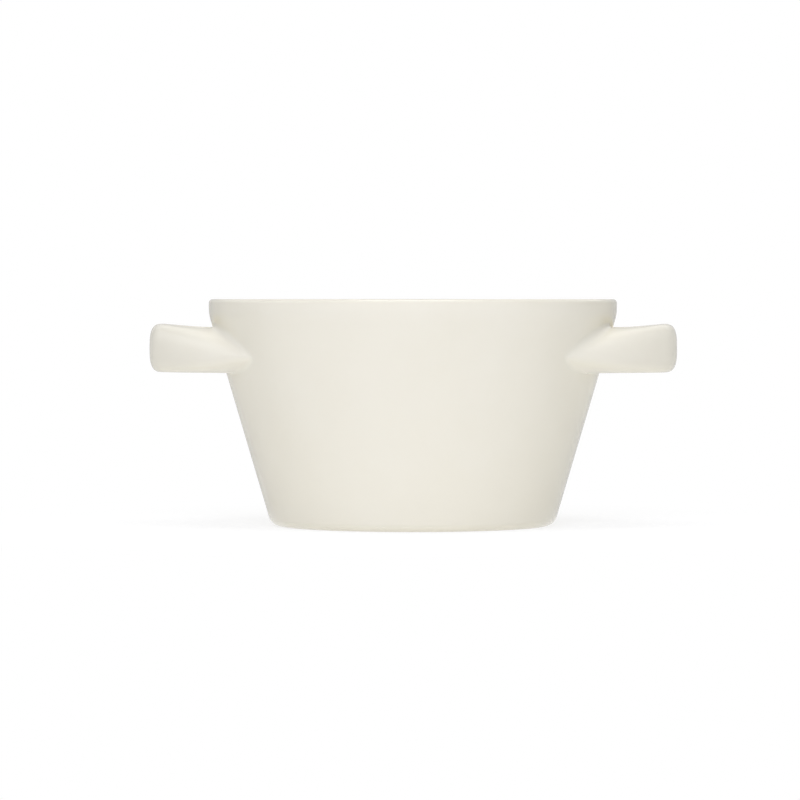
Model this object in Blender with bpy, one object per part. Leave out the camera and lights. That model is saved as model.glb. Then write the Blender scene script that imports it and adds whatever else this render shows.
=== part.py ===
"""A soup cup with two loop handles: a turned body, and two bent straps set on its wall with slip."""

import math

import bmesh
import bpy
import numpy as np
from mathutils import Matrix, Vector

# Cup body, in metres
RIM_DIAMETER = 0.124  # across the outside of the lip
CUP_HEIGHT = 0.0688  # table to the top of the lip
BASE_DIAMETER = 0.086  # where the straight outside would meet the table
LIP_BAND = 0.0045  # height of the upright band under the rim
LIP_RADIUS = 0.0012
BAND_RADIUS = 0.012  # softens the turn from the band to the sloping wall
WALL = 0.004
FLOOR = 0.005
INSIDE_CORNER_RADIUS = 0.012
BASE_EDGE_RADIUS = 0.0036
FOOT_WIDTH = 0.0034  # flat ring that the cup stands on
FOOT_EDGE_RADIUS = 0.0006
RECESS_DEPTH = 0.0018  # hollow of the underside, inside the foot ring
RECESS_DRAFT = 0.0012  # how far the side of that hollow leans inwards
RECESS_RADIUS = 0.0015

# Handles, in metres
HANDLE_REACH = 0.01825  # tip of the handle past the rim
HANDLE_DROP = 0.0075  # rim down to the top edge at the tip
HANDLE_HEIGHT = 0.0147  # strap from underside to top edge, at the tip
HANDLE_FALL = 0.0011  # how far the top edge comes down from the tip to the wall
STRAP = 0.0078  # thickness of the strap
FINGER_RADIUS = 0.0102  # inside of the bend, seen from above
LEG_RADIUS = 0.08  # bow of a leg's outer face, seen from above
ROOT_SPREAD = 0.07  # between the two points where a handle runs out on the wall
ROOT_STRAP = 0.01  # thickness of the strap at the wall
ROOT_INNER_EDGE = 0.0012  # part of that thickness which rounds the finger side
ROOT_POINT = 0.005  # height of the root's point above the underside
SLIP = 0.0003  # bed of slip between a root and the wall

# Powers of the superellipse that the strap's section follows: 2 is an ellipse, 1 a lozenge
TIP_FULLNESS = 3.0
ROOT_FULLNESS = 1.35

# Fineness of the facets
TURN_STEPS = 72  # round the cup
ARC_STEP = math.radians(15)  # along a rounded edge
SECTION_STEPS = 32  # round the strap, a multiple of 4
LEG_STEPS = 8
BEND_STEPS = 5
ROOT_STEPS = 4  # across a root's seat on the wall
MERGE = 0.00001

GLAZE_COLOUR = (0.84, 0.81, 0.74, 1.0)
GLAZE_ROUGHNESS = 0.12

# Worked out from the sizes above
SLOPE = (RIM_DIAMETER - BASE_DIAMETER) / 2 / (CUP_HEIGHT - LIP_BAND)
LEAN = math.atan(SLOPE)
HANDLE_TIP = RIM_DIAMETER / 2 + HANDLE_REACH
HANDLE_TOP = CUP_HEIGHT - HANDLE_DROP
HANDLE_UNDERSIDE = HANDLE_TOP - HANDLE_HEIGHT
BEND_RADIUS = FINGER_RADIUS + STRAP
BEND_CENTRE = HANDLE_TIP - BEND_RADIUS
SECTION_ANGLES = np.arange(SECTION_STEPS) * 2 * math.pi / SECTION_STEPS  # 0 faces out, then up


def outer_radius(height):
    """Radius of the outside of the wall: a cone up to the lip's upright band."""
    return np.minimum(BASE_DIAMETER / 2 + SLOPE * height, RIM_DIAMETER / 2)


def inner_radius(height):
    """Radius of the inside of the wall, which stays straight up to the lip."""
    return BASE_DIAMETER / 2 + SLOPE * height - WALL / math.cos(LEAN)


def rounded(corners):
    """A path through corners given as (radius, height, fillet), with each inner corner an arc."""
    points = [Vector((radius, height)) for radius, height, _ in corners]
    path = [points[0]]
    for before, here, after, (_, _, fillet) in zip(points, points[1:], points[2:], corners[1:]):
        back = (before - here).normalized()
        onward = (after - here).normalized()
        half = back.angle(onward) / 2
        room = min((before - here).length, (after - here).length) / 2
        setback = min(fillet / math.tan(half), room)
        start = here + back * setback
        centre = here + (back + onward).normalized() * setback / math.cos(half)
        turn = math.copysign(math.pi - 2 * half, onward.cross(back))
        steps = max(1, round(abs(turn) / ARC_STEP))
        for step in range(steps + 1):
            path.append(centre + Matrix.Rotation(turn * step / steps, 2) @ (start - centre))
    path.append(points[-1])
    return path


def body_profile():
    """Half section of the cup: over the floor, up the inside, round the lip and down to the foot."""
    floor_height = RECESS_DEPTH + FLOOR
    foot_outside = BASE_DIAMETER / 2 - BASE_EDGE_RADIUS * math.tan((math.pi / 2 - LEAN) / 2)
    foot_inside = foot_outside - FOOT_WIDTH
    return rounded(
        [
            (0.0, floor_height, 0.0),
            (inner_radius(floor_height), floor_height, INSIDE_CORNER_RADIUS),
            (inner_radius(CUP_HEIGHT), CUP_HEIGHT, LIP_RADIUS),
            (RIM_DIAMETER / 2, CUP_HEIGHT, LIP_RADIUS),
            (RIM_DIAMETER / 2, CUP_HEIGHT - LIP_BAND, BAND_RADIUS),
            (BASE_DIAMETER / 2, 0.0, BASE_EDGE_RADIUS),
            (foot_inside, 0.0, FOOT_EDGE_RADIUS),
            (foot_inside - RECESS_DRAFT, RECESS_DEPTH, RECESS_RADIUS),
            (0.0, RECESS_DEPTH, 0.0),
        ]
    )


def leg_plan():
    """Half the bend's angle, the middle of a leg's arc, and the bend's share of the way to the wall.

    Seen from above, a leg's outer face leaves the bend without a corner and meets the wall at half the
    root spread.
    """
    wall = outer_radius(HANDLE_UNDERSIDE + ROOT_POINT) + SLIP
    point = np.array((math.sqrt(wall**2 - (ROOT_SPREAD / 2) ** 2), ROOT_SPREAD / 2))
    away = point - (BEND_CENTRE, 0)
    reach = np.linalg.norm(away)
    growth = LEG_RADIUS - BEND_RADIUS
    opening = math.acos((LEG_RADIUS**2 - growth**2 - reach**2) / (2 * growth * reach))
    half_bend = math.atan2(away[1], away[0]) - opening
    middle = np.array((BEND_CENTRE - growth * math.cos(half_bend), -growth * math.sin(half_bend)))
    swing = math.atan2(*(point - middle)[::-1]) - half_bend
    bend_length = BEND_RADIUS * half_bend
    return half_bend, middle, bend_length / (bend_length + LEG_RADIUS * swing)


def blend(tip_value, root_value, root):
    """Value part of the way from the tip (root 0) to the wall (root 1)."""
    return tip_value + (root_value - tip_value) * root


def section_power(value, root):
    """A sine or cosine raised to the section's fullness, which the outer side loses towards the root."""
    outer = np.cos(SECTION_ANGLES) > 0
    fullness = np.where(outer, blend(TIP_FULLNESS, ROOT_FULLNESS, root), TIP_FULLNESS)
    return np.sign(value) * np.abs(value) ** (2 / fullness)


def section_insets(root):
    """How far each point of the section lies in from the strap's outer face."""
    out = np.cos(SECTION_ANGLES)
    ridge = blend(STRAP / 2, ROOT_STRAP - ROOT_INNER_EDGE, root)
    finger_side = blend(STRAP / 2, ROOT_INNER_EDGE, root)
    return ridge - np.where(out > 0, ridge, finger_side) * section_power(out, root)


def section_heights(root, fall):
    """Height of each point of the section, where fall is 0 at the tip and 1 at the wall."""
    up = np.sin(SECTION_ANGLES)
    top = HANDLE_TOP - HANDLE_FALL * fall
    middle = blend(HANDLE_UNDERSIDE + HANDLE_HEIGHT / 2, HANDLE_UNDERSIDE + ROOT_POINT, root)
    return middle + np.where(up > 0, top - middle, middle - HANDLE_UNDERSIDE) * section_power(up, root)


def top_edge_fall(distance):
    """Share of the top edge's fall at a distance out from the cup's axis, eased towards the wall."""
    tip_edge = HANDLE_TIP - STRAP / 2
    share = (tip_edge - distance) / (tip_edge - outer_radius(HANDLE_TOP))
    return np.sin(np.clip(share, 0, 1) * math.pi / 2)


def arc_plan(middle, radii, angles):
    """Places seen from above on arcs about a middle."""
    return middle + np.column_stack((radii * np.cos(angles), radii * np.sin(angles)))


def leg_swing(middle, half_bend):
    """Angle that each point of the section turns through along the leg, up to the wall's bed of slip."""
    radii = LEG_RADIUS - section_insets(1)
    wall = outer_radius(section_heights(1, 1)) + SLIP
    away = np.linalg.norm(middle)
    meeting = np.arccos((wall**2 - radii**2 - away**2) / (2 * radii * away))
    return math.atan2(middle[1], middle[0]) + meeting - half_bend


def handle_rings():
    """Sections of the strap from one root over the tip to the other, along a path from tip 0 to wall 1."""
    half_bend, leg_middle, bend_part = leg_plan()
    swing = leg_swing(leg_middle, half_bend)
    bend = np.linspace(0, bend_part, BEND_STEPS, endpoint=False)
    leg = np.linspace(bend_part, 1, LEG_STEPS + 1)
    rings = []
    for path in np.concatenate((bend, leg)):
        root = path**2 * (3 - 2 * path)
        insets = section_insets(root)
        if path < bend_part:
            plan = arc_plan((BEND_CENTRE, 0), BEND_RADIUS - insets, half_bend * path / bend_part)
        else:
            along = (path - bend_part) / (1 - bend_part)
            plan = arc_plan(leg_middle, LEG_RADIUS - insets, half_bend + swing * along)
        heights = section_heights(root, top_edge_fall(plan[:, 0]))
        rings.append(np.column_stack((plan, heights)))
    return [ring * (1, -1, 1) for ring in reversed(rings[1:])] + rings


def skin(mesh, rows):
    """Faces between neighbouring rows of vertices; where a row is drawn to a point they are triangles."""
    for here, there in zip(rows, rows[1:]):
        for first, second, third, fourth in zip(here, here[1:], there[1:], there):
            mesh.faces.new(dict.fromkeys((first, second, third, fourth)))


def root_rows(mesh, ring):
    """Rows across a root's seat, from its lower edge to its upper one, that follow the wall's curve."""
    quarter = SECTION_STEPS // 4
    rows = []
    for step in range(-quarter, quarter + 1):
        outer = ring[step]
        inner = ring[(2 * quarter - step) % SECTION_STEPS]
        row = [outer]
        for share in np.linspace(0, 1, ROOT_STEPS + 1)[1:-1]:
            if outer is inner:
                row.append(outer)
                continue
            height = blend(outer.co.z, inner.co.z, share)
            angle = blend(math.atan2(outer.co.y, outer.co.x), math.atan2(inner.co.y, inner.co.x), share)
            radius = outer_radius(height) + SLIP
            row.append(mesh.verts.new((radius * math.cos(angle), radius * math.sin(angle), height)))
        rows.append(row + [inner])
    return rows


def handle_mesh():
    """The strap as one closed skin: its sections joined in order, and a seat at each root."""
    mesh = bmesh.new()
    rings = [[mesh.verts.new(point) for point in ring] for ring in handle_rings()]
    skin(mesh, [ring + ring[:1] for ring in rings])
    for ring in (rings[0], rings[-1]):
        skin(mesh, root_rows(mesh, ring))
    bmesh.ops.recalc_face_normals(mesh, faces=mesh.faces)
    data = bpy.data.meshes.new("handle")
    mesh.to_mesh(data)
    mesh.free()
    data.shade_smooth()
    return data


def glaze(name):
    """White glaze, a little warm, glossy."""
    material = bpy.data.materials.new(name)
    material.use_nodes = True
    shader = material.node_tree.nodes["Principled BSDF"]
    shader.inputs["Base Color"].default_value = GLAZE_COLOUR
    shader.inputs["Roughness"].default_value = GLAZE_ROUGHNESS
    shader.inputs["Metallic"].default_value = 0.0
    return material


def add_piece(name, data, cup):
    """An object of the cup with a glaze of its own, so that copies of one mesh can differ."""
    piece = bpy.data.objects.new(name, data)
    bpy.context.collection.objects.link(piece)
    piece.parent = cup
    if not data.materials:
        data.materials.append(None)
    piece.material_slots[0].link = "OBJECT"
    piece.material_slots[0].material = glaze(name + "_glaze")
    return piece


def make_body(cup):
    """The body, its half section turned once round the axis."""
    profile = body_profile()
    data = bpy.data.meshes.new("cup_body")
    edges = [(index, index + 1) for index in range(len(profile) - 1)]
    data.from_pydata([(point.x, 0.0, point.y) for point in profile], edges, [])
    body = add_piece("cup_body", data, cup)
    turn = body.modifiers.new("turn", "SCREW")
    turn.axis = "Z"
    turn.angle = 2 * math.pi
    turn.steps = TURN_STEPS
    turn.render_steps = TURN_STEPS
    turn.use_merge_vertices = True
    turn.merge_threshold = MERGE
    turn.use_smooth_shade = True


def make_handles(cup):
    """Two handles from one mesh, half a turn apart."""
    data = handle_mesh()
    add_piece("right_handle", data, cup)
    left = add_piece("left_handle", data, cup)
    left.rotation_euler.z = math.pi


def main():
    for old in list(bpy.data.objects):
        bpy.data.objects.remove(old)
    cup = bpy.data.objects.new("soup_cup", None)
    bpy.context.collection.objects.link(cup)
    make_body(cup)
    make_handles(cup)


main()
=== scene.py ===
"""Looks of the soup cup: its glazed body and loop handles as fine surfaces, in plain studio light."""

import math
from typing import NamedTuple

import bpy
import numpy as np
from mathutils import Matrix, Vector


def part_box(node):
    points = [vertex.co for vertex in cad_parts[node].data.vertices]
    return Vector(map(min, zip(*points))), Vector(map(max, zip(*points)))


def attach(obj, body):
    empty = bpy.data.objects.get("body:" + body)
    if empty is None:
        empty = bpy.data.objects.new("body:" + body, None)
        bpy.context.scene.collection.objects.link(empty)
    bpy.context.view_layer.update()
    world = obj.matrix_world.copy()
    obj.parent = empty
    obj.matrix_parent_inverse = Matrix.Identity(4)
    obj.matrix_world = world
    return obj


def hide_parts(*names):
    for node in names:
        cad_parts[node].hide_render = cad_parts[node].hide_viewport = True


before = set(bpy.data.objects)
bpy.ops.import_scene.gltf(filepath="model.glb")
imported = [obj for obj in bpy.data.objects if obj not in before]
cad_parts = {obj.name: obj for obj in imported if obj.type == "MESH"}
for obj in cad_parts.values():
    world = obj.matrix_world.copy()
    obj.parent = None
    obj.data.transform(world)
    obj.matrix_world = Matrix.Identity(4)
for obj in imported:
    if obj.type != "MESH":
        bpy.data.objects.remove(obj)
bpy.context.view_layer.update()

# Sizes that the frame gives, in metres
body_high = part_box("cup_body")[1]
handle_low, handle_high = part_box("right_handle")
RIM_RADIUS = body_high.x
CUP_HEIGHT = body_high.z
HANDLE_TIP = handle_high.x
HANDLE_TOP = handle_high.z
HANDLE_UNDERSIDE = handle_low.z
ROOT_ASIDE = handle_high.y  # from the middle of a handle to a point where it runs out on the wall

# Cup body, in metres
BASE_RADIUS = 0.043  # where the straight outside would meet the table
LIP_BAND = 0.0045  # height of the upright band under the rim
LIP_RADIUS = 0.0012  # rounding of the lip's two edges
BAND_RADIUS = 0.012  # rounding between the upright band and the sloping outside
CUP_WALL = 0.004
CUP_FLOOR = 0.005
INSIDE_CORNER_RADIUS = 0.012
BASE_EDGE_RADIUS = 0.0036
FOOT_WIDTH = 0.0034
FOOT_EDGE_RADIUS = 0.0006
RECESS_DEPTH = 0.0018
RECESS_DRAFT = 0.0012  # how far the recess narrows on its way up
RECESS_RADIUS = 0.0015

# Handles, in metres
HANDLE_FALL = 0.0011  # how far the top edge comes down from the tip to the wall
STRAP = 0.0078  # thickness at the tip
FINGER_RADIUS = 0.0102  # inside of the bend
LEG_RADIUS = 0.08  # bow of a leg's outer face, seen from above
ROOT_STRAP = 0.01  # thickness at the root
ROOT_INNER_EDGE = 0.0012  # the part of it on the finger's side of the widest line
ROOT_POINT = 0.005  # height of the root's point above the underside
BURIED = 0.0006  # how deep a root's hidden end lies in the wall

# Fullness of a handle's section, where 2 is an ellipse, more is squarer and less is more pointed
TIP_FULLNESS = 3.0
RIDGE_FULLNESS = 1.7  # of a root's outer face along its ridge
UPPER_FULLNESS = 1.15  # the same towards its upper edge
LOWER_FULLNESS = 1.1  # the same towards its lower edge
LATE_CHANGE = 4  # power that keeps the tip's fullness almost to the root

# Slip smoothed into the corner between the wall and a handle's root, in metres
OUTER_FILLET = 0.0028  # its radius on the handle's outer face
UPPER_FILLET = 0.0014  # above the handle
LOWER_FILLET = 0.0006  # below it
FINGER_FILLET = 0.0018  # on the finger's side
FILLET_NARROWING = 4  # power of the sine that narrows it to the upper and the lower edge
FEATHER = 0.0005  # how far it runs on past the corner, where it sinks into the wall
FEATHER_SINK = 0.00004

# Fineness of the surfaces
TURN_STEPS = 288
ARC_STEP = math.radians(5)
LEAST_ARC_STEPS = 3
STRAIGHT_STEP = 0.0016  # metres
GIRTH_STEPS = 128
BEND_STEPS = 24
LEG_STEPS = 28
FILLET_STEPS = 14
NORMAL_STEP = 0.004  # of path share and of turn, in the differences that give a normal
HALVINGS = 40

# Worked out from the sizes above
SLOPE = (RIM_RADIUS - BASE_RADIUS) / (CUP_HEIGHT - LIP_BAND)
LEAN = math.atan(SLOPE)
BEND_RADIUS = FINGER_RADIUS + STRAP
BEND_CENTRE = HANDLE_TIP - BEND_RADIUS
CUP_FLOOR_TOP = RECESS_DEPTH + CUP_FLOOR
FOOT_OUTSIDE = BASE_RADIUS - BASE_EDGE_RADIUS * math.tan((math.pi / 2 - LEAN) / 2)
FOOT_INSIDE = FOOT_OUTSIDE - FOOT_WIDTH


def unit(vectors):
    """Vectors of length one."""
    return vectors / np.linalg.norm(vectors, axis=-1, keepdims=True)


def cone_radius(height):
    """Radius of the sloping outside of the wall."""
    return BASE_RADIUS + SLOPE * height


def inner_radius(height):
    """Radius of the inside of the wall, which lies one wall thickness in from the outside."""
    return cone_radius(height) - CUP_WALL / math.cos(LEAN)


def add_piece(name, points, faces, masks, material):
    """A smooth object from rows of points and faces, with a number at each point for each mask."""
    data = bpy.data.meshes.new(name)
    data.from_pydata(points.tolist(), [], faces)
    for mask, values in masks.items():
        layer = data.attributes.new(mask, "FLOAT", "POINT")
        layer.data.foreach_set("value", values.astype(np.float32))
    data.shade_smooth()
    data.materials.append(material)
    piece = bpy.data.objects.new(name, data)
    bpy.context.collection.objects.link(piece)
    return piece


def tube_faces(rows, columns):
    """Quads between neighbouring rows of a grid whose columns run round, and a fan of triangles
    from its first and last row to the two end points, which follow the grid's own points."""
    index = np.arange(rows * columns).reshape(rows, columns)
    following = np.roll(index, -1, axis=1)
    quads = np.stack((index[:-1], index[1:], following[1:], following[:-1]), axis=-1).reshape(-1, 4)
    first = np.full(columns, rows * columns)
    start_fan = np.stack((first, index[0], following[0]), axis=-1)
    end_fan = np.stack((first + 1, following[-1], index[-1]), axis=-1)
    return quads.tolist() + start_fan.tolist() + end_fan.tolist()


def straight_path(start, end):
    """Even points from start up to, but without, end."""
    steps = max(1, round(float(np.linalg.norm(end - start)) / STRAIGHT_STEP))
    return start + (end - start) * (np.arange(steps) / steps)[:, None]


def rounded_path(corners):
    """A path through corners given as (radius, height, fillet).

    Each inner corner becomes an arc of that fillet's radius, tangent to both sides, and the straight
    stretches between arcs are divided evenly.
    """
    points = np.array([corner[:2] for corner in corners])
    pieces = []
    last = points[0]
    for before, here, after, corner in zip(points, points[1:], points[2:], corners[1:]):
        back = unit(before - here)
        onward = unit(after - here)
        half = math.acos(np.clip(back @ onward, -1, 1)) / 2
        centre = here + unit(back + onward) * corner[2] / math.sin(half)
        start = here + back * corner[2] / math.tan(half) - centre
        side = here + onward * corner[2] / math.tan(half) - centre
        swing = math.pi - 2 * half
        steps = max(LEAST_ARC_STEPS, math.ceil(swing / ARC_STEP))
        turn = np.linspace(0, swing, steps + 1)[:, None]
        arc = centre + (start * np.sin(swing - turn) + side * np.sin(turn)) / math.sin(swing)
        pieces += [straight_path(last, arc[0]), arc[:-1]]
        last = arc[-1]
    return np.concatenate(pieces + [straight_path(last, points[-1]), points[-1:]])


def body_profile():
    """Half section of the cup: over the floor, up the inside, round the lip and down to the foot."""
    return rounded_path(
        [
            (0.0, CUP_FLOOR_TOP, 0.0),
            (inner_radius(CUP_FLOOR_TOP), CUP_FLOOR_TOP, INSIDE_CORNER_RADIUS),
            (inner_radius(CUP_HEIGHT), CUP_HEIGHT, LIP_RADIUS),
            (RIM_RADIUS, CUP_HEIGHT, LIP_RADIUS),
            (RIM_RADIUS, CUP_HEIGHT - LIP_BAND, BAND_RADIUS),
            (BASE_RADIUS, 0.0, BASE_EDGE_RADIUS),
            (FOOT_INSIDE, 0.0, FOOT_EDGE_RADIUS),
            (FOOT_INSIDE - RECESS_DRAFT, RECESS_DEPTH, RECESS_RADIUS),
            (0.0, RECESS_DEPTH, 0.0),
        ]
    )


def make_body(material):
    """The profile turned about the axis: (radius cos turn, radius sin turn, height).

    Its masks fade as a bell curve from the lip, the foot ring and the inside corner.
    """
    profile = body_profile()
    radius, height = profile[1:-1].T
    turn = np.arange(TURN_STEPS) * 2 * math.pi / TURN_STEPS
    across = np.outer(radius, np.cos(turn))
    along = np.outer(radius, np.sin(turn))
    up = np.repeat(height[:, None], TURN_STEPS, axis=1)
    grid = np.stack((across, along, up), axis=-1).reshape(-1, 3)
    poles = np.array([(0, 0, profile[0, 1]), (0, 0, profile[-1, 1])])
    masks = {
        "thin": np.exp(-(((CUP_HEIGHT - height) / LIP_RADIUS) ** 2)),
        "bare": np.exp(-(height**2 + np.maximum(radius - FOOT_OUTSIDE, 0) ** 2) / FOOT_EDGE_RADIUS**2),
        "pool": np.exp(-(((height - CUP_FLOOR_TOP) ** 2 + (radius - FOOT_INSIDE) ** 2) / CUP_FLOOR**2)),
    }
    masks = {name: np.append(np.repeat(row, TURN_STEPS), row[[0, -1]]) for name, row in masks.items()}
    faces = tube_faces(len(radius), TURN_STEPS)
    return add_piece("glazed_body", np.concatenate((grid, poles)), faces, masks, material)


def leg_plan():
    """Half the bend's angle, the middle of a leg's arc, and the bend's share of the way to the wall.

    Seen from above, a leg's outer face is an arc that leaves the bend's circle without a corner and
    meets the wall at the root's point.
    """
    wall = cone_radius(HANDLE_UNDERSIDE + ROOT_POINT)
    point = np.array((math.sqrt(wall**2 - ROOT_ASIDE**2), ROOT_ASIDE))
    away = point - (BEND_CENTRE, 0)
    reach = np.linalg.norm(away)
    growth = LEG_RADIUS - BEND_RADIUS
    opening = math.acos((LEG_RADIUS**2 - growth**2 - reach**2) / (2 * growth * reach))
    half_bend = math.atan2(away[1], away[0]) - opening
    middle = np.array((BEND_CENTRE - growth * math.cos(half_bend), -growth * math.sin(half_bend)))
    swing = math.atan2(*(point - middle)[::-1]) - half_bend
    bend = BEND_RADIUS * half_bend
    return half_bend, middle, bend / (bend + LEG_RADIUS * swing)


HALF_BEND, LEG_CENTRE, BEND_PART = leg_plan()


def blend(tip_value, root_value, root):
    """Value part of the way from the tip (root 0) to the wall (root 1)."""
    return tip_value + (root_value - tip_value) * root


def section(root, turn):
    """Inset from the outer face, and height share from -1 to 1, of a superellipse section.

    The two are the cosine and the sine of the turn, each to the power of 2 / fullness. The outer half
    loses its fullness close to the root, and the widest line moves in from the outer face on the way.
    """
    outer = np.cos(turn) > 0
    edge = np.where(np.sin(turn) > 0, UPPER_FULLNESS, LOWER_FULLNESS)
    late = root**LATE_CHANGE
    edge_fullness = np.where(outer, blend(TIP_FULLNESS, edge, late), TIP_FULLNESS)
    ridge_fullness = np.where(outer, blend(TIP_FULLNESS, RIDGE_FULLNESS, late), TIP_FULLNESS)
    out = np.sign(np.cos(turn)) * np.abs(np.cos(turn)) ** (2 / edge_fullness)
    up = np.sign(np.sin(turn)) * np.abs(np.sin(turn)) ** (2 / ridge_fullness)
    ridge = blend(STRAP / 2, ROOT_STRAP - ROOT_INNER_EDGE, root)
    finger_side = blend(STRAP / 2, ROOT_INNER_EDGE, root)
    return ridge - np.where(outer, ridge, finger_side) * out, up


def section_height(root, up, fall):
    """Height from the height share; the top edge falls, and the middle sinks to the root's point."""
    top = HANDLE_TOP - HANDLE_FALL * fall
    middle = blend((HANDLE_TOP + HANDLE_UNDERSIDE) / 2, HANDLE_UNDERSIDE + ROOT_POINT, root)
    return middle + np.where(up > 0, top - middle, middle - HANDLE_UNDERSIDE) * up


def leg_swing(turn):
    """Angle that each line of the section turns through along the leg, from the bend to the cone.

    Seen from above the line is a circle about the leg's centre, and the cone at the line's height is a
    circle about the cup's axis.
    """
    inset, up = section(1.0, turn)
    radius = LEG_RADIUS - inset
    wall = cone_radius(section_height(1.0, up, 1.0))
    away = np.linalg.norm(LEG_CENTRE)
    meeting = np.arccos((wall**2 - radius**2 - away**2) / (2 * radius * away))
    return math.atan2(LEG_CENTRE[1], LEG_CENTRE[0]) + meeting - HALF_BEND


def strap(path, turn):
    """Points of the strap at a path share, 0 at the tip and 1 on the wall, and a turn round its section.

    Seen from above the section goes round the bend's circle and then along the leg's arc, and it
    blends with the path from its form at the tip to its form at the root.
    """
    path, turn = np.broadcast_arrays(path, turn)
    share = np.clip(np.abs(path), 0, 1)
    root = share**2 * (3 - 2 * share)
    inset, up = section(root, turn)
    bent = HALF_BEND * np.minimum(path / BEND_PART, 1)
    angle = bent + leg_swing(turn) * np.maximum(path - BEND_PART, 0) / (1 - BEND_PART)
    in_leg = path > BEND_PART
    radius = np.where(in_leg, LEG_RADIUS, BEND_RADIUS) - inset
    across = np.where(in_leg, LEG_CENTRE[0], BEND_CENTRE) + radius * np.cos(angle)
    along = np.where(in_leg, LEG_CENTRE[1], 0) + radius * np.sin(angle)
    tip_edge = HANDLE_TIP - STRAP / 2
    reach = (tip_edge - across) / (tip_edge - cone_radius(HANDLE_TOP))
    fall = np.sin(np.clip(reach, 0, 1) * math.pi / 2)
    return np.stack((across, along, section_height(root, up, fall)), axis=-1)


def strap_normal(path, turn):
    """Outward normals of the strap, from the differences along the path and round the section."""
    forward = strap(path + NORMAL_STEP, turn) - strap(path - NORMAL_STEP, turn)
    around = strap(path, turn + NORMAL_STEP) - strap(path, turn - NORMAL_STEP)
    return unit(np.cross(forward, around))


def wall_normal(points):
    """Normals of the cone at the points' own turns: outwards, and down by the cone's lean."""
    flat = unit(points[..., :2]) * math.cos(LEAN)
    return np.concatenate((flat, np.full(flat.shape[:-1] + (1,), -math.sin(LEAN))), axis=-1)


def fillet_radius(turn):
    """Radius of the slip in the corner: widest on the outer face and on the finger's side, and it
    narrows with a power of the turn's sine to the upper and the lower edge."""
    edge = np.where(np.sin(turn) > 0, UPPER_FILLET, LOWER_FILLET)
    widest = np.where(np.cos(turn) > 0, OUTER_FILLET, FINGER_FILLET)
    return widest + (edge - widest) * np.sin(turn) ** FILLET_NARROWING


def rolling_ball(turn):
    """Where a ball of the fillet's radius touches both the strap and the cone.

    Its centre stands one radius off the strap along the strap's normal; halving the path between the
    bend and the wall finds the place where the centre is one radius off the cone too.
    """
    radius = fillet_radius(turn)[:, None]
    near = np.full(len(turn), BEND_PART)
    far = np.ones(len(turn))
    for _ in range(HALVINGS):
        path = (near + far) / 2
        centre = strap(path, turn) + radius * strap_normal(path, turn)
        off_axis = np.hypot(centre[:, 0], centre[:, 1])
        clear = (off_axis - cone_radius(centre[:, 2])) * math.cos(LEAN) > radius[:, 0]
        near = np.where(clear, path, near)
        far = np.where(clear, far, path)
    return path, centre, radius


def half_handle(turn):
    """Rings from the tip to the hidden end in the wall, and how far each ring lies in the slip.

    They follow the strap, then the fillet's arc, a feather edge along the wall and a skirt into it.
    """
    touch, centre, radius = rolling_ball(turn)
    bend = np.linspace(0, BEND_PART, BEND_STEPS, endpoint=False)[:, None]
    leg = BEND_PART + (touch - BEND_PART) * np.linspace(0, 1, LEG_STEPS)[:, None]
    rings = [strap(bend, turn[None]), strap(leg, turn[None])]
    on_strap = -strap_normal(touch, turn)
    on_wall = -wall_normal(centre)
    swing = np.arccos(np.clip((on_strap * on_wall).sum(axis=-1), -1, 1))[:, None]
    share = np.linspace(0, 1, FILLET_STEPS + 1)[1:, None, None]
    arc = (on_strap * np.sin((1 - share) * swing) + on_wall * np.sin(share * swing)) / np.sin(swing)
    rings.append(centre + radius * arc)
    onward = (on_wall * np.cos(swing) - on_strap) / np.sin(swing)
    feather = rings[-1][-1] + FEATHER * onward
    rings.append(np.stack((feather + FEATHER_SINK * on_wall, feather + BURIED * on_wall)))
    filled = np.concatenate((np.zeros(BEND_STEPS + LEG_STEPS), share[:, 0, 0], [1.0, 1.0]))
    return np.concatenate(rings), filled


THIN_EDGE = 8  # power of the sine that keeps thin glaze to a handle's upper and lower edge


def make_handle(name, side, material):
    """Both halves of a loop handle, joined at the tip; side is 1 for the right one, -1 for the left."""
    turn = np.arange(GIRTH_STEPS) * 2 * math.pi / GIRTH_STEPS
    half, filled = half_handle(turn)
    grid = np.concatenate((half[:0:-1] * (1, -1, 1), half))
    filled = np.concatenate((filled[:0:-1], filled))
    ends = grid[[0, -1]].mean(axis=1)
    ends -= wall_normal(ends) * BURIED
    points = np.concatenate((grid.reshape(-1, 3), ends)) * (side, side, 1)
    edges = np.tile(np.abs(np.sin(turn)) ** THIN_EDGE, len(grid))
    masks = {
        "thin": np.append(edges, (0, 0)),
        "pool": np.append(np.repeat(filled, GIRTH_STEPS), (1, 1)),
    }
    return add_piece(name, points, tube_faces(len(grid), GIRTH_STEPS), masks, material)


class Wire:
    """An output socket. Sums written with it and with numbers add Math nodes."""

    def __init__(self, finish, socket):
        self.finish = finish
        self.socket = socket

    def combine(self, operation, first, second):
        """The output of a Math node."""
        sockets = {0: first, 1: second}
        return self.finish.node("ShaderNodeMath", {"operation": operation}, sockets)["Value"]

    def __add__(self, other):
        return self.combine("ADD", self, other)

    def __sub__(self, other):
        return self.combine("SUBTRACT", self, other)

    def __rsub__(self, other):
        return self.combine("SUBTRACT", other, self)

    def __mul__(self, other):
        return self.combine("MULTIPLY", self, other)

    __radd__ = __add__
    __rmul__ = __mul__


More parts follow.
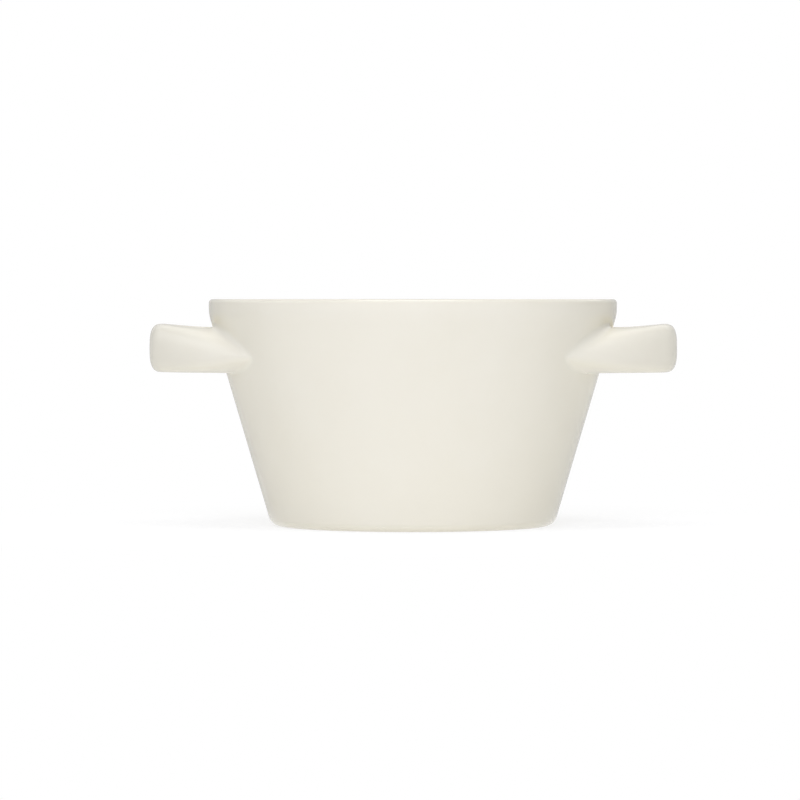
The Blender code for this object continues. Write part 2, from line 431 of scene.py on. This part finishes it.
class Finish:
    """The node tree of a material or of the world."""

    def __init__(self, owner):
        owner.use_nodes = True
        self.tree = owner.node_tree
        self.tree.nodes.clear()

    def node(self, kind, settings=None, sockets=None):
        """Adds a node of that type, sets it up, then fills its sockets; returns its outputs by name."""
        node = self.tree.nodes.new(kind)
        for name, value in (settings or {}).items():
            setattr(node, name, value)
        for name, value in (sockets or {}).items():
            socket = node.inputs[name] if isinstance(name, int) else self.usable(node.inputs, name)
            if isinstance(value, Wire):
                self.tree.links.new(value.socket, socket)
            else:
                socket.default_value = value
        return {socket.name: Wire(self, socket) for socket in node.outputs if not socket.is_unavailable}

    def usable(self, sockets, name):
        """The socket of that name which the node's settings leave in use."""
        return next(socket for socket in sockets if socket.name == name and not socket.is_unavailable)

    def mix(self, factor, first, second):
        """A colour between two colours."""
        sockets = {"Factor": factor, "A": first, "B": second}
        return self.node("ShaderNodeMix", {"data_type": "RGBA"}, sockets)["Result"]

    def noise(self, scale, detail):
        """Noise from 0 to 1 in the piece's own space, with that many features to a metre."""
        place = self.node("ShaderNodeTexCoord")["Object"]
        sockets = {"Vector": place, "Scale": scale, "Detail": detail}
        return self.node("ShaderNodeTexNoise", None, sockets)["Fac"]

    def fade(self, distance, near, far):
        """A number that falls smoothly from 1 at the near distance to 0 at the far one."""
        sockets = {"Value": distance, "From Min": near, "From Max": far, "To Min": 1.0, "To Max": 0.0}
        return self.node("ShaderNodeMapRange", {"interpolation_type": "SMOOTHSTEP"}, sockets)["Result"]

    def depth(self, place):
        """How far back a place or a direction goes."""
        return self.node("ShaderNodeSeparateXYZ", None, {"Vector": place})["Y"]

    def mask(self, name):
        """A mask that the mesh carries, or 0 where it has none of that name."""
        return self.node("ShaderNodeAttribute", {"attribute_name": name})["Fac"]

    def seen(self):
        """1 for what the camera sees, also by reflection or through glass, and 0 for light on things."""
        ray = self.node("ShaderNodeLightPath")
        return ray["Is Camera Ray"] + ray["Is Glossy Ray"] + ray["Is Transmission Ray"]


# Colours of the glaze and the clay
WHITE_GLAZE = (0.86, 0.825, 0.706, 1.0)
CREAM_GLAZE = (0.835, 0.795, 0.664, 1.0)  # where the glaze varies to its warmer tone
THIN_GLAZE = (0.8, 0.745, 0.613, 1.0)  # over edges, where the clay shows through
POOLED_GLAZE = (0.83, 0.805, 0.684, 1.0)  # in corners
BARE_CLAY = (0.72, 0.655, 0.55, 1.0)
THIN_SHARE = 0.35  # how much of its own colour the thin glaze shows
POOL_SHARE = 0.5  # the same for pooled glaze

# Noise in them: features to a metre, and detail
CLOUDS = (55.0, 3.0)  # slow changes of tone
WAVES = (700.0, 1.0)  # faint waves in the gloss
GRAIN = (5200.0, 2.0)  # grain of the bare clay

# Their gloss and relief
GLAZE_IOR = 1.5
GLAZE_ROUGHNESS = 0.09
CLOUD_ROUGHNESS = 0.05  # added towards the warmer tone
THIN_ROUGHNESS = 0.05  # added where the glaze is thin
BARE_ROUGHNESS = 0.6  # added where the clay is bare
GRAIN_HEIGHT = 4.0  # against the height of the waves
RELIEF = 0.000004  # height of the waves, in metres
RELIEF_STRENGTH = 0.5


def glaze(name):
    """Glossy warm white glaze that thins on edges, pools in corners and leaves the foot ring bare."""
    material = bpy.data.materials.new(name)
    finish = Finish(material)
    clouds = finish.noise(*CLOUDS)
    waves = finish.noise(*WAVES)
    grain = finish.noise(*GRAIN)
    bare = finish.mask("bare")
    thin = finish.mask("thin")
    pool = finish.mask("pool")
    colour = finish.mix(clouds, WHITE_GLAZE, CREAM_GLAZE)
    colour = finish.mix(THIN_SHARE * thin, colour, THIN_GLAZE)
    colour = finish.mix(POOL_SHARE * pool, colour, POOLED_GLAZE)
    colour = finish.mix(bare, colour, BARE_CLAY)
    worn = CLOUD_ROUGHNESS * clouds + THIN_ROUGHNESS * thin + BARE_ROUGHNESS * bare
    height = waves * (1 - bare) + GRAIN_HEIGHT * grain * bare
    bump = {"Strength": RELIEF_STRENGTH, "Distance": RELIEF, "Height": height}
    surface = finish.node(
        "ShaderNodeBsdfPrincipled",
        None,
        {
            "Base Color": colour,
            "Roughness": GLAZE_ROUGHNESS + worn,
            "IOR": GLAZE_IOR,
            "Normal": finish.node("ShaderNodeBump", None, bump)["Normal"],
        },
    )
    finish.node("ShaderNodeOutputMaterial", None, {"Surface": surface["BSDF"]})
    return material


WHITE = (1.0, 1.0, 1.0, 1.0)
GREY = (0.65, 0.65, 0.65, 1.0)


def studio_colour(finish, behind):
    """White, apart from reflections, which see what lies behind the cup as grey."""
    reflected = finish.node("ShaderNodeLightPath")["Is Glossy Ray"]
    return finish.mix(behind * reflected, WHITE, GREY)


# Floor, in metres
FLOOR_SIZE = 40.0
FLOOR_DROP = 0.0001  # under the foot, so that the two never share a plane
FLOOR_COLOUR = (0.8, 0.8, 0.8, 1.0)
FLOOR_GLOW = 0.3  # light that the floor gives off by itself, a glow with no lamp behind it, which lights the cup from below
SHADOW_NEAR = 0.05  # from the cup's axis; up to here the camera sees the cup's shadow on the floor
SHADOW_FAR = 0.17  # past here it sees plain white
SHADOW_SHARE = 0.3  # how much of the floor's own shade it sees near the cup
GREY_BACK = 0.0  # from here back, reflections see the floor grey
GREY_FRONT = -0.08  # from here forward, white
GREY_NEAR = 0.045  # from the cup's axis; up to here they see it white all round
GREY_FAR = 0.065  # past here they see it grey at the back


def make_floor():
    """A wide pale floor, which glows a little by itself and so lights the cup from below.

    The camera sees it run out to plain white away from the cup's soft shadow, and reflections see it
    grey behind the cup.
    """
    half = FLOOR_SIZE / 2
    corner = np.array([(-1, -1), (1, -1), (1, 1), (-1, 1)]) * half
    points = np.column_stack((corner, np.full(len(corner), -FLOOR_DROP)))
    material = bpy.data.materials.new("pale_floor")
    finish = Finish(material)
    place = finish.node("ShaderNodeTexCoord")["Object"]
    away = finish.node("ShaderNodeVectorMath", {"operation": "LENGTH"}, {0: place})["Value"]
    shade = SHADOW_SHARE * finish.fade(away, SHADOW_NEAR, SHADOW_FAR)
    paint = finish.node("ShaderNodeBsdfDiffuse", None, {"Color": FLOOR_COLOUR})["BSDF"]
    # the floor's own glow, no lamp, which lights the cup's underside and base edge from below
    glow = finish.node("ShaderNodeEmission", None, {"Color": WHITE, "Strength": FLOOR_GLOW})["Emission"]
    lit = finish.node("ShaderNodeAddShader", None, {0: paint, 1: glow})["Shader"]
    at_back = finish.fade(finish.depth(place), GREY_BACK, GREY_FRONT)
    past_foot = finish.fade(away, GREY_FAR, GREY_NEAR)
    colour = studio_colour(finish, at_back * past_foot)
    plain = finish.node("ShaderNodeEmission", None, {"Color": colour, "Strength": 1.0})["Emission"]
    both = finish.node("ShaderNodeMixShader", None, {0: (1 - shade) * finish.seen(), 1: lit, 2: plain})
    finish.node("ShaderNodeOutputMaterial", None, {"Surface": both["Shader"]})
    floor = add_piece("floor", points, [(0, 1, 2, 3)], {}, material)


# Surround
SURROUND = 0.29  # its strength as light, while camera and reflections see it at full strength
SKY_BACK = 0.5  # share of a direction that points back; past it reflections see grey
SKY_FRONT = -0.2  # up to here they see white


def make_surround():
    """An even white surround, which reflections see grey behind the cup."""
    world = bpy.data.worlds.new("white_surround")
    finish = Finish(world)
    strength = SURROUND + (1 - SURROUND) * finish.seen()
    direction = finish.node("ShaderNodeTexCoord")["Generated"]
    colour = studio_colour(finish, finish.fade(finish.depth(direction), SKY_BACK, SKY_FRONT))
    sky = finish.node("ShaderNodeBackground", None, {"Color": colour, "Strength": strength})
    finish.node("ShaderNodeOutputWorld", None, {"Surface": sky["Background"]})
    bpy.context.scene.world = world


STUDIO_TURN = math.radians(2.3)  # of the camera and lamps about the cup, to the right of its front


def in_studio(place):
    """A place turned about the cup's axis with the studio."""
    return Matrix.Rotation(STUDIO_TURN, 3, "Z") @ Vector(place)


NEUTRAL_LIGHT = (1.0, 1.0, 1.0)
COOL_LIGHT = (0.97, 1.0, 1.2)


class Lamp(NamedTuple):
    """A broad soft lamp that faces the cup, in metres and watts."""

    place: tuple
    width: float
    height: float
    watts: float
    colour: tuple = NEUTRAL_LIGHT
    lights: bool = True  # whether it lights the cup
    shows: bool = True  # whether reflections show it


LAMPS = {
    "front_lamp": Lamp((-0.1, -1.3, 0.8), 0.8, 0.3, watts=7.5, colour=COOL_LIGHT, shows=False),
    "top_lamp": Lamp((0.0, -0.3, 1.2), 0.9, 0.6, watts=6.5),
    "back_left_lamp": Lamp((-0.55, 0.8, 0.9), 0.9, 0.9, watts=1.0),
    "back_right_lamp": Lamp((0.55, 0.8, 0.9), 0.9, 0.9, watts=1.4),
    "left_panel": Lamp((-1.1, 0.0, 0.38), 1.4, 0.5, watts=1.3, lights=False),
}


def make_lamps():
    """The lamps, turned to face the foot of the cup."""
    for name, lamp in LAMPS.items():
        light = bpy.data.lights.new(name, "AREA")
        light.shape = "RECTANGLE"
        light.size = lamp.width
        light.size_y = lamp.height
        light.energy = lamp.watts
        light.color = lamp.colour
        stand = bpy.data.objects.new(name, light)
        stand.location = in_studio(lamp.place)
        stand.rotation_euler = (-stand.location).to_track_quat("-Z", "Y").to_euler()
        stand.visible_camera = False
        stand.visible_diffuse = lamp.lights
        stand.visible_glossy = lamp.shows
        bpy.context.collection.objects.link(stand)


# Camera, in metres
EYE_ASIDE = -0.0039
EYE_AWAY = 1.36
AIM_HEIGHT = 0.0381
LENS = 201.2  # millimetres
SENSOR = 36.0  # millimetres across


def make_camera():
    """A long lens level with the rim, which looks a little down at the middle of the cup."""
    lens = bpy.data.cameras.new("camera")
    lens.lens = LENS
    lens.sensor_width = SENSOR
    camera = bpy.data.objects.new("camera", lens)
    camera.location = in_studio((EYE_ASIDE, -EYE_AWAY, CUP_HEIGHT))
    aim = in_studio((EYE_ASIDE, 0.0, AIM_HEIGHT))
    camera.rotation_euler = (aim - camera.location).to_track_quat("-Z", "Y").to_euler()
    bpy.context.collection.objects.link(camera)
    bpy.context.scene.camera = camera


def main():
    """The three pieces on the cup's one body, and the studio round them."""
    cup_glaze = glaze("cup_glaze")
    handle_glaze = glaze("handle_glaze")
    pieces = [
        (make_body(cup_glaze), "cup_body", "cup_glaze"),
        (make_handle("right_loop", 1, handle_glaze), "right_handle", "handle_glaze"),
        (make_handle("left_loop", -1, handle_glaze), "left_handle", "handle_glaze"),
    ]
    for piece, node, slot in pieces:
        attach(piece, "root")
        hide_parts(node)
    make_floor()
    make_surround()
    make_lamps()
    make_camera()
    bpy.context.scene.view_settings.view_transform = "Standard"


main()
